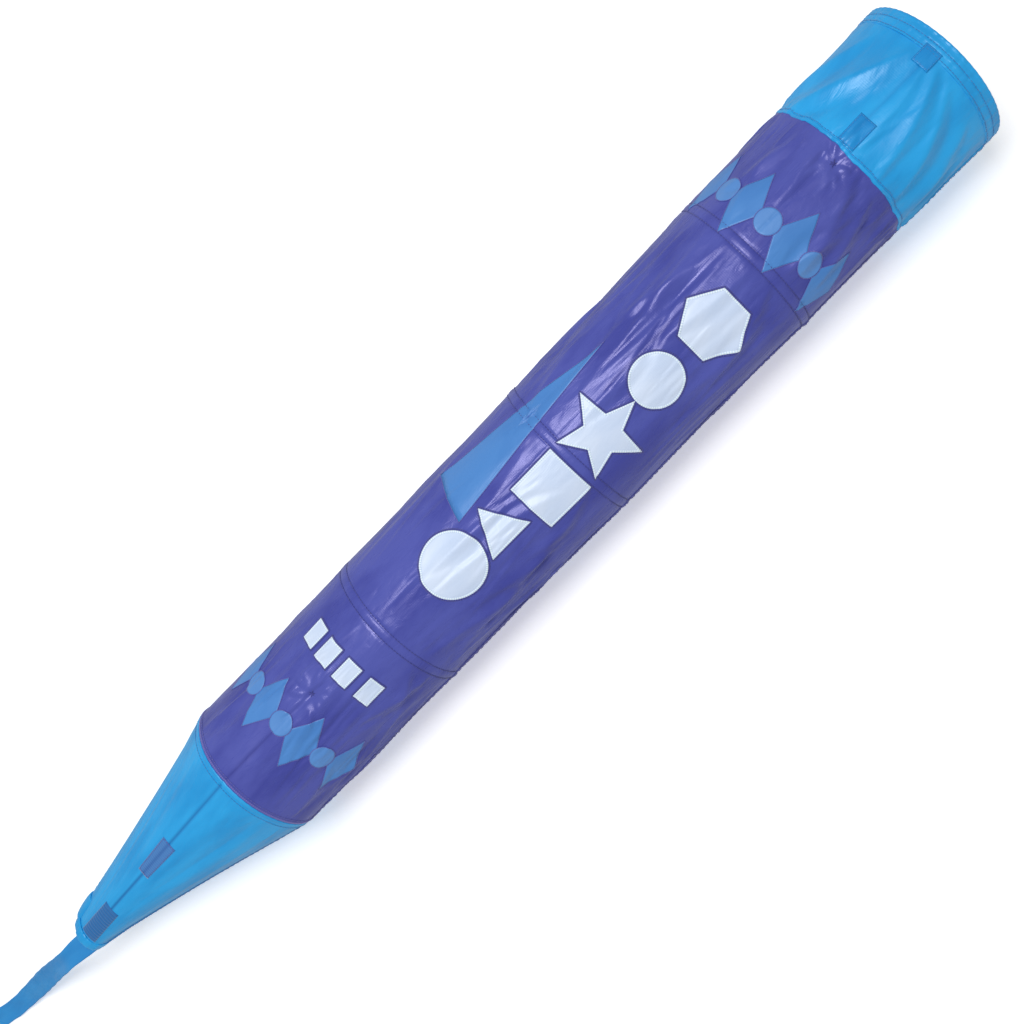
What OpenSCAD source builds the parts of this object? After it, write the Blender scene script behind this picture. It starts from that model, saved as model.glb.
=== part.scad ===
// Crayon-shaped fabric flying tube: a thin cloth tube held round by sewn-in hoops, held long by a
// rod spine along its top line, with a cone at one end, an open mouth at the other and a cloth tail.
// The tube lies on its side: +X runs from the cone's tip to the mouth, +Z up, spine at the top.

/* [Tube] */
// Outside diameter of the tube's cloth
tube_d = 156; // [150:1:162]
// Length of the cone, from the cuff's end to the cone seam
cone_len = 287; // [270:1:300]
// Outside diameter of the cone's narrow end
tip_d = 36; // [36:1:38]
// Where the light end band is joined on, counted from the tip
band_x = 1101; // [1060:1:1130]
// Thickness of the cloth as a stand-in (the real cloth is thinner)
cloth_t = 0.8; // [0.6:0.1:1]

/* [Hoops] */
// Length of the first bay, from the cone seam to hoop a
bay_a = 221; // [200:1:230]
// Length of the second bay
bay_b = 241; // [230:1:250]
// Length of the third bay
bay_c = 237; // [230:1:245]
// Length of the last bay, up to the mouth
bay_d = 233; // [225:1:240]
// Thickness of a hoop's round rod
hoop_rod_d = 4; // [3:0.5:4]
// Width of the sewn sleeve around a hoop
sleeve_w = 12; // [10:1:14]
// Radial height of that sleeve
sleeve_h = 6; // [6:0.5:7]

/* [Spine] */
// Diameter of the spine's rods
rod_d = 5; // [4:0.5:5]
// Angle between the rod in the cone and the rod in the tube
spine_bend = 10.5; // [9.5:0.5:11]
// How far a rod end reaches into its ferrule
ferrule_depth = 25; // [20:1:35]
// Where the two upper rods meet, counted from the tip
ferrule_x = 753; // [700:1:760]

/* [Sewn-on shapes] */
// Length of a diamond along the tube
diamond_len = 68; // [50:1:70]
// Width of a diamond around the tube
diamond_w = 30.5; // [25:0.5:30.5]
// Diameter of the small discs between the diamonds
disc_d = 23; // [16:1:23]
// Angle from one diamond to the next
diamond_step = 40; // [40:0.5:42]

/* [Tail] */
// Width of the tail's ribbon
tail_w = 26; // [20:1:26]
// Angle at which the tail lies off the tube's line
tail_turn = 7; // [0:1:7]
// Distance from the tail's pivot to its folded bundle
bundle_x = 228; // [200:1:260]
// Length of the folded bundle
bundle_len = 250; // [200:1:260]
// Height of the folded bundle
bundle_h = 12; // [8:1:14]

/* [Hidden] */
$fn = 96;

// colours of the cloths and of the hard pieces
light_blue = "#3a9fd9";
seam_blue = "#2b84c4";
indigo = "#464c9f";
motif_blue = "#4a78bb";
pale = "#cad9f0";
tape = "#5f6db5";
rod_black = "#25272b";
vinyl = "#3b3d42";
metal = "#c2c5c9";

// the tube's radii, from the hem inwards: a hair of room is left between cloth layers
gap = 0.05;
tube_r = tube_d / 2;
tip_r = tip_d / 2;
applique_t = 0.5;
hem_t = 0.7;
hem_r = tube_r + gap + hem_t;
sleeve_out = tube_r - cloth_t - 0.3;
sleeve_in = sleeve_out - sleeve_h;
sleeve_wall = 0.6;
hoop_r = sleeve_out - sleeve_h / 2;

// places along the tube, from the tip
cone_x = cone_len;
hoop_a_x = cone_x + bay_a;
hoop_b_x = hoop_a_x + bay_b;
hoop_c_x = hoop_b_x + bay_c;
total_len = hoop_c_x + bay_d;
hem_lip = 0.8;
mouth_x = total_len - hem_lip;
cone_hoop_x = cone_x + sleeve_w / 2 + 0.5;
mouth_hoop_x = mouth_x - sleeve_w / 2 - 1;
hem_w = 24;
cuff_len = 12;
cone_slope = atan((tube_r - tip_r) / (cone_x - cuff_len));

// the spine runs a little inside the hoops' sleeves, so that its rods draw out past them
ferrule_r = rod_d / 2 + 1;
joiner_r = rod_d / 2 + 1.5;
fit = 0.05;
spine_drop = 10;
spine_r = sleeve_in - spine_drop;
joiner_arm = 26;
web = 1.5;
lower_rod_len = 268;
spine_end_x = total_len - 10;

// rows of small shapes, from the tip
tip_row_x = 372;
mouth_row_x = 1016;
tiles_x = 455;
tiles_turn = [30, 11, -9, -30];
lower_tie_x = 414;
upper_tie_x = 1088;
ferrule_turn = 176;

// the tail: a ribbon that falls from the tip to the ground, and its folded length beyond
pivot_x = -14;
ribbon_t = 1;
band_t = 0.8;
bundle_lift = band_t + gap;
tail_reach = bundle_x + bundle_len;
tail_far = pivot_x - tail_reach * cos(tail_turn) - tail_w / 2 * sin(tail_turn);
// the ribbon's falling line: distance out from the pivot and depth below it
fall = [[0, 0], [14, 0.5], [26, 5], [37, 15], [46, 29], [54, 45], [63, 59], [76, 70], [92, 76],
        [112, 78.25], [bundle_x + 12, 78.25]];

// the row's origin is on the ground, midway between the mouth and the tail's far end
mid_x = (total_len + tail_far) / 2;

module in_place() translate([-mid_x, 0, hem_r]) children();
// turns a shape built around Z so that it runs along the tube
module along_x() rotate([0, 90, 0]) children();
// puts a child, drawn over the top line, at a distance from the tip and an angle towards +Y
module at_skin(x, turn) translate([x, 0, 0]) rotate([-turn, 0, 0]) children();
// both faces of the tube carry the same sewn-on shapes
module both_faces() for (side = [0, 180]) rotate([side, 0, 0]) children();

module ring(r_in, r_out, x, w)
    translate([x, 0, 0]) along_x() difference() {
        cylinder(r = r_out, h = w);
        translate([0, 0, -1]) cylinder(r = r_in, h = w + 2);
    }

module half_tube(x0, x1, start)
    translate([x0, 0, 0]) along_x() rotate([0, 0, start])
        rotate_extrude(angle = 180) translate([tube_r - cloth_t, 0]) square([cloth_t, x1 - x0]);

module half_cone(start)
    translate([cuff_len, 0, 0]) along_x() rotate([0, 0, start])
        rotate_extrude(angle = 180) polygon([[tip_r - cloth_t, 0], [tip_r, 0],
            [tube_r, cone_x - cuff_len], [tube_r - cloth_t, cone_x - cuff_len]]);

// a piece of cloth sewn flat on the skin: the children's outline, wrapped on the tube
module sewn_on(x, turn, inner = tube_r + gap, t = applique_t)
    at_skin(x, turn) intersection() {
        ring(inner, inner + t, -80, 160);
        linear_extrude(height = inner + 10) children();
    }

module diamond()
    polygon([[-diamond_len / 2, 0], [0, -diamond_w / 2], [diamond_len / 2, 0], [0, diamond_w / 2]]);

module regular(sides, r, turn = 0)
    polygon([for (k = [0 : sides - 1]) r * [cos(turn + k * 360 / sides), sin(turn + k * 360 / sides)]]);

module star_outline(points, r_out, r_in)
    polygon([for (k = [0 : 2 * points - 1]) (k % 2 == 0 ? r_out : r_in)
        * [cos(k * 180 / points), sin(k * 180 / points)]]);

module diamond_row(x)
    both_faces() for (k = [-1.5 : 1 : 1.5]) sewn_on(x, k * diamond_step) diamond();

module disc_row(x)
    both_faces() for (k = [-1 : 1]) sewn_on(x, k * diamond_step) circle(d = disc_d);

module rod_x(x0, x1, r) translate([x0, 0, spine_r]) along_x() cylinder(r = r, h = x1 - x0);

// the frame of the rod in the cone: its far end lies at the bend, and it runs down towards the tip
module cone_rod_frame() translate([cone_x, 0, spine_r]) rotate([0, -spine_bend, 0]) children();

// ---- hoops: a rod ring, closed by a short ferrule, inside a sewn cloth sleeve ----
module hoop(x)
    color(rod_black) in_place() translate([x, 0, 0]) along_x() rotate([0, 0, ferrule_turn])
        rotate_extrude(angle = 356) translate([hoop_r, 0]) circle(d = hoop_rod_d, $fn = 24);

module hoop_ferrule(x)
    color(metal) in_place() translate([x, 0, 0]) along_x() rotate([0, 0, ferrule_turn - 12])
        rotate_extrude(angle = 20) translate([hoop_r, 0]) difference() {
            circle(d = hoop_rod_d + 0.6, $fn = 24);
            circle(d = hoop_rod_d + 2 * fit, $fn = 24);
        }

module sleeve(x)
    color(tape) in_place() translate([x - sleeve_w / 2, 0, 0]) along_x() rotate_extrude() difference() {
        translate([sleeve_in, 0]) square([sleeve_h, sleeve_w]);
        translate([sleeve_in + sleeve_wall, sleeve_wall * 2])
            square([sleeve_h - 2 * sleeve_wall, sleeve_w - 4 * sleeve_wall]);
    }

// ---- cone end ----
module cone_top() color(light_blue) in_place() half_cone(90);
module cone_bottom() color(light_blue) in_place() half_cone(270);

// a felled seam down the cone's side
module cone_seam(side)
    color(seam_blue) in_place() mirror([0, side > 0 ? 0 : 1, 0])
        translate([cuff_len + 1, tip_r + 0.25, 0]) rotate([0, 0, cone_slope])
            translate([0, 0, -3]) cube([(cone_x - cuff_len) / cos(cone_slope) - 3, cloth_t, 6]);

module tip_cuff() color(light_blue) in_place() ring(tip_r - 1.4, tip_r + 0.6, 0, cuff_len - gap);

// ribbed webbing over the rod's end, stitched on the cone's top line
module tip_pocket()
    color(seam_blue) in_place() translate([cuff_len + 4, 0, tip_r + 1.2]) rotate([0, -cone_slope, 0])
        translate([0, -8, 0]) cube([44, 16, 1.6]);

module cone_keeper()
    color(tape) in_place() translate([138, 0, tip_r + 0.3 + (138 - cuff_len) * tan(cone_slope)])
        rotate([0, -cone_slope, 0]) translate([0, -8, 0]) cube([42, 16, 0.6]);

// the cloth end of the tail, sewn across inside the cuff
module tail_tab()
    color(light_blue) in_place() union() {
        translate([-0.9, -tail_w / 2, -ribbon_t / 2]) cube([9.7, tail_w, ribbon_t]);
        translate([5, -16.4, -ribbon_t / 2]) cube([4, 32.8, ribbon_t]);
    }

module spine_lower()
    color(rod_black) in_place() cone_rod_frame()
        translate([-lower_rod_len, 0, 0]) along_x() cylinder(d = rod_d, h = lower_rod_len - web - 0.5);

module spine_lower_cap()
    color(vinyl) in_place() cone_rod_frame() translate([-lower_rod_len - 1.5, 0, 0]) along_x()
        difference() {
            cylinder(r = ferrule_r, h = 12);
            translate([0, 0, 1.4]) cylinder(r = rod_d / 2 + fit, h = 12);
        }

// bent plug that joins the rod in the cone to the rod in the tube: two sockets with a web between
module spine_joiner()
    color(vinyl) in_place() difference() {
        union() {
            rod_x(cone_x, cone_x + joiner_arm, joiner_r);
            cone_rod_frame() translate([-joiner_arm, 0, 0]) along_x()
                cylinder(r = joiner_r - 0.15, h = joiner_arm + 1);
        }
        rod_x(cone_x + web, cone_x + joiner_arm + 1, rod_d / 2 + fit);
        cone_rod_frame() translate([-joiner_arm - 1, 0, 0]) along_x()
            cylinder(r = rod_d / 2 + fit, h = joiner_arm + 1 - web);
    }

// ---- tube cloth ----
module body_top() color(indigo) in_place() half_tube(cone_x, band_x, 90);
module body_bottom() color(indigo) in_place() half_tube(cone_x, band_x, 270);
module band_top() color(light_blue) in_place() half_tube(band_x, mouth_x, 90);
module band_bottom() color(light_blue) in_place() half_tube(band_x, mouth_x, 270);

// a felled seam along the tube's side, short of the mouth's hem
module body_seam(side)
    color(seam_blue) in_place() at_skin(0, 90 * side) intersection() {
        ring(tube_r + gap, tube_r + gap + cloth_t, cone_x + 1, mouth_x - hem_w - cone_x - 2);
        translate([cone_x, -3.5, 0]) cube([mouth_x - cone_x, 7, hem_r + 10]);
    }

module band_keeper()
    color(tape) in_place() sewn_on(1128, 0) translate([-16, -9]) square([32, 18]);

// cord loop that ties the cloth to the spine, with a stub up to the skin
module tie(x)
    color(pale) in_place() translate([x, 0, spine_r]) union() {
        along_x() rotate_extrude() translate([rod_d / 2 + 1.8, 0]) circle(d = 1.6, $fn = 24);
        translate([0, 0, rod_d / 2 + 1.8])
            cylinder(r = 0.8, h = tube_r - cloth_t - spine_r - rod_d / 2 - 1.9, $fn = 24);
    }

// ---- sewn-on shapes ----
module tip_diamonds() color(motif_blue) in_place() diamond_row(tip_row_x);
module tip_discs() color(motif_blue) in_place() disc_row(tip_row_x);
module mouth_diamonds() color(motif_blue) in_place() diamond_row(mouth_row_x);
module mouth_discs() color(motif_blue) in_place() disc_row(mouth_row_x);

module small_tiles()
    color(pale) in_place() both_faces() for (turn = tiles_turn)
        sewn_on(tiles_x, turn) translate([-13, -9]) square([26, 18]);

module pennant()
    color(motif_blue) in_place() both_faces()
        sewn_on(720, 28) polygon([[-70, 30], [-84, -24], [104, -8]]);

module large_disc() color(pale) in_place() both_faces() sewn_on(602, -9.5) circle(d = 66);
module triangle() color(pale) in_place() both_faces() sewn_on(657, -16) regular(3, 29, 90);
module square_patch() color(pale) in_place() both_faces() sewn_on(717, -21) regular(4, 37, 45);
module star() color(pale) in_place() both_faces() sewn_on(785, -20) star_outline(5, 42, 19);
module small_disc() color(pale) in_place() both_faces() sewn_on(853, -21) circle(d = 52);
module hexagon() color(pale) in_place() both_faces() sewn_on(922, -22) regular(6, 33, 30);

// ---- mouth ----
module mouth_hem()
    color(light_blue) in_place() translate([mouth_x, 0, 0]) along_x() rotate_extrude()
        polygon([[tube_r + gap, -hem_w], [hem_r, -hem_w], [hem_r, hem_lip], [sleeve_in + 1, hem_lip],
            [sleeve_in + 1, gap], [tube_r + gap, gap]]);

module mouth_patch()
    color(seam_blue) in_place()
        sewn_on(total_len - 19, 0, hem_r + gap) translate([-9, -9]) square([18, 18]);

// ---- spine in the tube ----
module spine_middle() color(rod_black) in_place() rod_x(cone_x + web + 0.5, ferrule_x - 0.5, rod_d / 2);
module spine_upper() color(rod_black) in_place() rod_x(ferrule_x + 0.5, spine_end_x, rod_d / 2);

module spine_ferrule()
    color(metal) in_place() difference() {
        rod_x(ferrule_x - ferrule_depth, ferrule_x + ferrule_depth, ferrule_r);
        rod_x(ferrule_x - ferrule_depth - 1, ferrule_x + ferrule_depth + 1, rod_d / 2 + fit);
    }

module spine_upper_cap()
    color(vinyl) in_place() difference() {
        rod_x(spine_end_x - 10, spine_end_x + 1.5, ferrule_r);
        rod_x(spine_end_x - 11, spine_end_x + fit, rod_d / 2 + fit);
    }

// ---- tail ----
module tail_frame() translate([pivot_x, 0, 0]) rotate([0, 0, 180 - tail_turn]) children();

// the ribbon: its side outline, drawn out to its width, with a round end on the pivot
module tail_strip()
    color(light_blue) in_place() tail_frame() union() {
        rotate([90, 0, 0]) translate([0, 0, -tail_w / 2]) linear_extrude(height = tail_w)
            polygon(concat([for (p = fall) [p[0], ribbon_t / 2 - p[1]]],
                [for (k = [len(fall) - 1 : -1 : 0]) [fall[k][0], -ribbon_t / 2 - fall[k][1]]]));
        translate([0, 0, -ribbon_t / 2]) cylinder(d = tail_w, h = ribbon_t);
    }

module tail_bundle()
    color(light_blue) in_place() tail_frame() rotate([90, 0, 0])
        translate([bundle_x + 14, bundle_lift - hem_r, -tail_w / 2]) linear_extrude(height = tail_w)
            union() {
                translate([bundle_h / 2, bundle_h / 2]) circle(d = bundle_h);
                translate([bundle_h / 2, 0]) square([bundle_len - 14 - bundle_h / 2, bundle_h]);
            }

module tail_band()
    color(seam_blue) in_place() tail_frame()
        translate([bundle_x + bundle_len / 2, -tail_w / 2 - band_t - gap, -hem_r]) difference() {
            cube([14, tail_w + 2 * (band_t + gap), bundle_h + 2 * (band_t + gap)]);
            translate([-1, band_t, band_t])
                cube([16, tail_w + 2 * gap, bundle_h + 2 * gap]);
        }

cone_top();
cone_bottom();
cone_seam(1);  // cone_seam_left
cone_seam(-1);  // cone_seam_right
tip_cuff();
tip_pocket();
cone_keeper();
tail_tab();
hoop(cone_hoop_x);  // cone_hoop
hoop_ferrule(cone_hoop_x);  // cone_hoop_ferrule
sleeve(cone_hoop_x);  // cone_hoop_sleeve
spine_lower();
spine_lower_cap();
spine_joiner();
body_top();
body_bottom();
band_top();
band_bottom();
body_seam(1);  // body_seam_left
body_seam(-1);  // body_seam_right
band_keeper();
tie(lower_tie_x);  // lower_tie
tie(upper_tie_x);  // upper_tie
tip_diamonds();
tip_discs();
mouth_diamonds();
mouth_discs();
small_tiles();
pennant();
large_disc();
triangle();
square_patch();  // square
star();
small_disc();
hexagon();
hoop(hoop_a_x);  // hoop_a
hoop_ferrule(hoop_a_x);  // hoop_a_ferrule
sleeve(hoop_a_x);  // hoop_a_sleeve
hoop(hoop_b_x);  // hoop_b
hoop_ferrule(hoop_b_x);  // hoop_b_ferrule
sleeve(hoop_b_x);  // hoop_b_sleeve
hoop(hoop_c_x);  // hoop_c
hoop_ferrule(hoop_c_x);  // hoop_c_ferrule
sleeve(hoop_c_x);  // hoop_c_sleeve
hoop(mouth_hoop_x);  // mouth_hoop
hoop_ferrule(mouth_hoop_x);  // mouth_hoop_ferrule
sleeve(mouth_hoop_x);  // mouth_hoop_sleeve
mouth_hem();
mouth_patch();
spine_middle();
spine_ferrule();
spine_upper();
spine_upper_cap();
tail_strip();
tail_bundle();
tail_band();
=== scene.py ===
# %% [markdown]
# # A cloth flying tube in the shape of a crayon
#
# The object is a light bag of coated nylon, held round by rod hoops and long by a rod
# spine. One end is a cone with a ribbon tail, the other is an open mouth. It lies on a
# pale floor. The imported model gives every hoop, rod and ferrule; this lesson makes the
# cloth, its folds and stitching, and the finish of every surface.
#
# Every point is worked out in millimetres first: how far along from the tip, at what
# angle round the tube, and how far out from its axis.

# %% Load the frame
import bpy
import numpy as np
from mathutils import Matrix, Vector


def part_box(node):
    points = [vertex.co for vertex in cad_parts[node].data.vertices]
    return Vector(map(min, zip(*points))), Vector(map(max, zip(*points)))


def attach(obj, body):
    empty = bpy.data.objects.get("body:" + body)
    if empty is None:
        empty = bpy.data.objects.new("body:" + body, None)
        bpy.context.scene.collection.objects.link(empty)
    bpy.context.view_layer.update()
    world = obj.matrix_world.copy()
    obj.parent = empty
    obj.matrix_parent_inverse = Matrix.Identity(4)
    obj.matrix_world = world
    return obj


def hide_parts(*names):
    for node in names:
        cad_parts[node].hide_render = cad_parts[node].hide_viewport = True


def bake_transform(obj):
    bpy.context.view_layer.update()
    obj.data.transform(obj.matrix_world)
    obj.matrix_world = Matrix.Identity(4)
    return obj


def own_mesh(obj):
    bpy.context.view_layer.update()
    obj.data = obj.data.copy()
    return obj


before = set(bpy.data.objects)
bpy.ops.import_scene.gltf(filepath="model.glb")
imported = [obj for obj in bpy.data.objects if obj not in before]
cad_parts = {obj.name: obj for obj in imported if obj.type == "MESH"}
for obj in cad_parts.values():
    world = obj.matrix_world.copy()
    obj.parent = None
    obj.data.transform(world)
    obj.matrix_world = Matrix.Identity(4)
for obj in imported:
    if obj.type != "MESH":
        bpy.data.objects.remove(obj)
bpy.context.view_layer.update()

# %% [markdown]
# ## The camera
#
# A camera is a place and three directions: right, up, and back towards the viewer. It
# could be aimed with a constraint, but a matrix made of the three directions says it all
# in one step and can't drift. It looks down on the tube from above its middle, turned so
# that the tube runs from corner to corner. A lens of 39 mm on a 36 mm sensor is a mild
# wide angle, so the mouth, which is nearer to the lens, looks a little larger.

# %% The camera
scene = bpy.context.scene
camera_data = bpy.data.cameras.new("camera")
camera_data.sensor_width = 36
camera_data.lens = 39.06
camera = bpy.data.objects.new("camera", camera_data)
scene.collection.objects.link(camera)
scene.camera = camera
camera_right = Vector((0.6890, -0.6876, -0.2293))
camera_back = Vector((0.1666, -0.1577, 0.9733)).normalized()
camera_up = camera_back.cross(camera_right).normalized()
camera_right = camera_up.cross(camera_back)
camera.matrix_world = Matrix.Translation((0.4819, -0.1775, 1.1436)) @ Matrix(
    (camera_right, camera_up, camera_back)).transposed().to_4x4()
print("camera at", [round(x, 3) for x in camera.matrix_world.translation])

# %% [markdown]
# ## The tube's own measures
#
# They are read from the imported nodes, so that the cloth can't part from the hoops.
# `along` is the distance from the tip in millimetres, and `turn` is the angle from the
# top line towards +Y, in degrees.

# %% Measures
MM = 0.001
tip_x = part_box("tip_cuff")[0].x
body_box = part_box("body_top")
tube_r = (body_box[1].y - body_box[0].y) / 2 / MM
axis_z = body_box[1].z / MM - tube_r
tip_r = 18.0
sleeve_r = 73.7
over_sleeve = 77.0


def along_of(node):
    """The node's middle, as a distance from the tip."""
    low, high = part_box(node)
    return ((low.x + high.x) / 2 - tip_x) / MM


cone_end = (body_box[0].x - tip_x) / MM
band_start = (body_box[1].x - tip_x) / MM
mouth = (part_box("mouth_hem")[1].x - tip_x) / MM
hoops = [along_of(f"hoop_{k}_sleeve") for k in "abc"]
cone_hoop, mouth_hoop = along_of("cone_hoop_sleeve"), along_of("mouth_hoop_sleeve")
cuff_end = 12.0
print("tube radius", tube_r, "axis height", axis_z, "cone", cone_end, "band", band_start,
      "hoops", hoops, "mouth", mouth)

# %% [markdown]
# ## The relief of the cloth
#
# A tube of thin nylon is never a clean cylinder. Between two hoops it pulls in a little,
# each sewn hoop line is a low ridge between two rows of stitches, and folds run along it
# because the cloth has more room there than it needs. It could be a cloth simulation, but
# then no fold would lie where it is wanted. Here the radius is a height map over the
# distance along and the angle round, and each fold is added to it as a crest with a
# hollow beside it.

# %% The grid of the relief
hoop_lines = [cone_end + 1.5, *hoops, mouth_hoop]
step_far, step_near = 2.7, 1.1


def along_nodes():
    """Grid lines along the tube: the density is 1/step, and step shrinks near a hoop line."""
    fine = np.arange(0, mouth + 0.01, 0.1)
    edges = np.array([cuff_end, cone_end, band_start, *hoop_lines])
    near = np.min(np.abs(fine[:, None] - edges[None, :]), axis=1)
    step = step_near + (step_far - step_near) * np.clip((near - 6) / 8, 0, 1)
    count = np.concatenate([[0], np.cumsum(0.1 / step[:-1])])
    return np.interp(np.linspace(0, count[-1], int(count[-1]) + 1), count, fine)


along_grid = along_nodes()
for edge in (cuff_end, cone_end, band_start):
    along_grid[np.argmin(np.abs(along_grid - edge))] = edge
round_count = 248
round_grid = np.arange(round_count) * 360 / round_count
girth = 2 * np.pi * tube_r
relief = np.zeros((len(along_grid), round_count))
print("relief grid", relief.shape)


def round_offset(middle):
    """Distance round the tube from middle to each grid angle, by the shorter way."""
    return (round_grid / 360 * girth - middle + girth / 2) % girth - girth / 2


# %% Adding a fold
def add_fold(start, end, width, height, hollow=0.45, bow=0.0):
    """Adds one fold to the relief. start and end are (along, turn).

    With p the share of the way from start to end and v the distance across in widths:
    height * sin(pi p)^0.7 * (exp(-|v|^1.3) - hollow * exp(-(v - 1.5)^2 / 0.5)).
    The width grows from a third at both ends to the whole in the middle, and the side with
    the hollow is 1.7 times as steep, as on cloth that leans over.
    """
    a0, a1 = start[0], end[0]
    t0, t1 = start[1] / 360 * girth, end[1] / 360 * girth
    reach = 3.2 * width
    rows = np.where((along_grid > min(a0, a1) - reach) & (along_grid < max(a0, a1) + reach))[0]
    middle, half = (t0 + t1) / 2, abs(t1 - t0) / 2 + reach + abs(bow) * width
    offset = round_offset(middle)
    cols = np.where(np.abs(offset) < half)[0]
    if not len(rows) or not len(cols):
        return
    a = along_grid[rows][:, None] - a0
    t = offset[cols][None, :] + middle - t0
    length = np.hypot(a1 - a0, t1 - t0)
    u, w = (a1 - a0) / length, (t1 - t0) / length
    p = np.clip((a * u + t * w) / length, 0, 1)
    swell = np.sin(np.pi * p)
    v = ((t * u - a * w) / width - bow * swell) / (0.33 + 0.67 * swell)
    crest = np.exp(-(np.where(v > 0, 1.7 * v, v) ** 2 + 0.03) ** 0.65)
    crest -= hollow * np.exp(-((v - 1.5) ** 2) / 0.5)
    relief[np.ix_(rows, cols)] += height * swell ** 0.7 * crest


# %% [markdown]
# ## Folds in every bay
#
# The folds of one bay start near a hoop and lean to one side on their way to the next.
# Each bay gets a few broad ones and more narrow ones. Short puckers stand along each row
# of stitches, where the thread gathers the cloth. The numbers come from one seeded
# generator, so the same folds come back in each run.

# %% Random folds and puckers
chance = np.random.default_rng(21)
bays = list(zip(hoop_lines[:-1], hoop_lines[1:]))


def fill_bay(low, high, broad, narrow, lean):
    """Adds broad and narrow folds between two hoops, at chance angles."""
    for count, widths, heights in ((broad, (5, 10), (1.3, 2.6)), (narrow, (2.2, 4.5), (0.5, 1.3))):
        for _ in range(count):
            turn = chance.uniform(0, 360)
            share = chance.uniform(0.35, 0.95)
            begin = chance.uniform(0, 1 - share)
            drift = chance.normal(lean, 12)
            side = chance.choice([-1, 1])
            add_fold((low + (high - low) * begin + 4, turn),
                     (low + (high - low) * (begin + share) - 4, turn + side * drift),
                     chance.uniform(*widths), chance.uniform(*heights),
                     bow=chance.uniform(-1.2, 1.2))


def pucker_line(line, count, reach, height, sides=(-1, 1)):
    """Adds short folds that start on a sewn line and run away from it on the given sides."""
    for side in sides:
        turns = np.arange(count) * 360 / count + chance.uniform(-2.5, 2.5, count)
        for turn in turns:
            length = reach * chance.uniform(0.4, 1.6)
            add_fold((line + side * 2, turn), (line + side * (2 + length),
                     turn + chance.normal(0, 3)), chance.uniform(1.3, 2.6),
                     height * chance.uniform(0.3, 1.4) * chance.choice([1, 1, -0.7]), hollow=0.3)


for low, high in bays:
    last = high > band_start
    fill_bay(low, high, broad=8 if last else 18, narrow=18 if last else 40, lean=9)
pucker_line(band_start, 38, 30, 2.2, sides=(-1,))
for line in hoop_lines:
    pucker_line(line - 6, 56, 15, 0.42, sides=(-1,))
    pucker_line(line + 6, 56, 15, 0.42, sides=(1,))
pucker_line(band_start, 84, 16, 0.55)
fold_cap = 3.6
relief[:] = np.where(relief > 0, fold_cap * np.tanh(relief / fold_cap), relief)
print("relief after the folds: lowest", relief.min().round(2), "highest", relief.max().round(2))

# %% [markdown]
# ## Folds that can be named
#
# The two ties draw the cloth in to a point, with folds all round it like a star. The
# mouth's band hangs from its small patch in two wide fans. Two long folds run down the
# cone. These are listed one by one.

# %% Ties, the band's fans and the cone's folds
lower_tie, upper_tie = (414.0, -1.0), (1088.0, -4.0)


def star_of_folds(centre, spokes, reach, height):
    """Adds folds that leave a point in all directions, and a hollow at the point itself."""
    a0, turn0 = centre
    for k in range(spokes):
        way = 2 * np.pi * (k + chance.uniform(-0.3, 0.3)) / spokes
        length = reach * chance.uniform(0.6, 1.3)
        add_fold((a0 + 4 * np.cos(way), turn0 + 3 * np.sin(way)),
                 (a0 + length * np.cos(way), turn0 + length * np.sin(way) * 360 / girth),
                 chance.uniform(2.0, 3.4), height * chance.uniform(0.7, 1.3), hollow=0.5)
    away = np.hypot(along_grid[:, None] - a0, round_offset(turn0 / 360 * girth)[None, :])
    relief[:] -= 3.6 * np.exp(-away / 7) + 0.9 * np.exp(-(away / 26) ** 2)


star_of_folds(lower_tie, 11, 30, 1.5)
star_of_folds(upper_tie, 9, 24, 1.3)
for start, end, width, height in (
        ((1200, 8), (1100, 56), 13, 6.4), ((1196, 3), (1112, 26), 8, 1.8),
        ((1200, -9), (1100, -32), 11, 5.6), ((1194, -22), (1104, -54), 12, 5.6),
        ((1192, 40), (1106, 84), 11, 3.6), ((1196, -2), (1110, -10), 7, 2.2),
        ((1190, -50), (1112, -76), 10, 3.4),
        ((1196, 150), (1110, 190), 11, 3.4), ((1190, 230), (1112, 205), 9, 3.0),
        ((504, -58), (420, -42), 8, 3.0), ((500, -40), (440, -62), 6, 2.0),
        ((516, -44), (640, -66), 9, 3.6), ((518, -36), (700, -62), 7, 2.4),
        ((742, -40), (640, -58), 8, 2.4), ((980, 10), (860, 32), 8, 3.0),
        ((978, -14), (880, -4), 7, 2.2), ((992, -30), (1060, -46), 8, 3.2),
        ((994, 20), (1070, 34), 8, 2.6), ((756, 30), (860, 44), 9, 3.0),
        ((1096, -18), (1000, -40), 11, 4.2), ((1092, -36), (1006, -58), 9, 3.8),
        ((1090, 26), (1012, 44), 9, 3.2), ((1094, 12), (1030, 4), 7, 2.4),
        ((980, -30), (880, -52), 10, 3.8), ((976, 24), (800, 12), 10, 3.4),
        ((900, 8), (780, -4), 9, 3.0), ((700, -2), (560, 8), 10, 2.6),
        ((690, -48), (560, -60), 9, 3.0), ((500, 8), (430, 20), 8, 2.4),
        ((360, 40), (292, 48), 8, 2.6), ((370, -52), (296, -60), 8, 2.6),
        ((284, -42), (60, -24), 11, -3.0), ((280, -62), (60, -58), 8, 1.6),
        ((284, 56), (30, 40), 6, -2.4), ((270, 68), (50, 62), 5, -2.0),
        ((284, 38), (60, 20), 7, -1.2),
        ((282, 20), (110, 12), 8, 0.8), ((276, -20), (120, -10), 8, 0.9),
        ((284, 140), (40, 150), 12, 2.2), ((284, 205), (40, 190), 12, 2.2),
        ((280, 245), (60, 240), 9, 1.6)):
    add_fold(start, end, width, height, bow=0.4)
pucker_line(cone_end - 6, 60, 22, 0.35, sides=(-1,))

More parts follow.
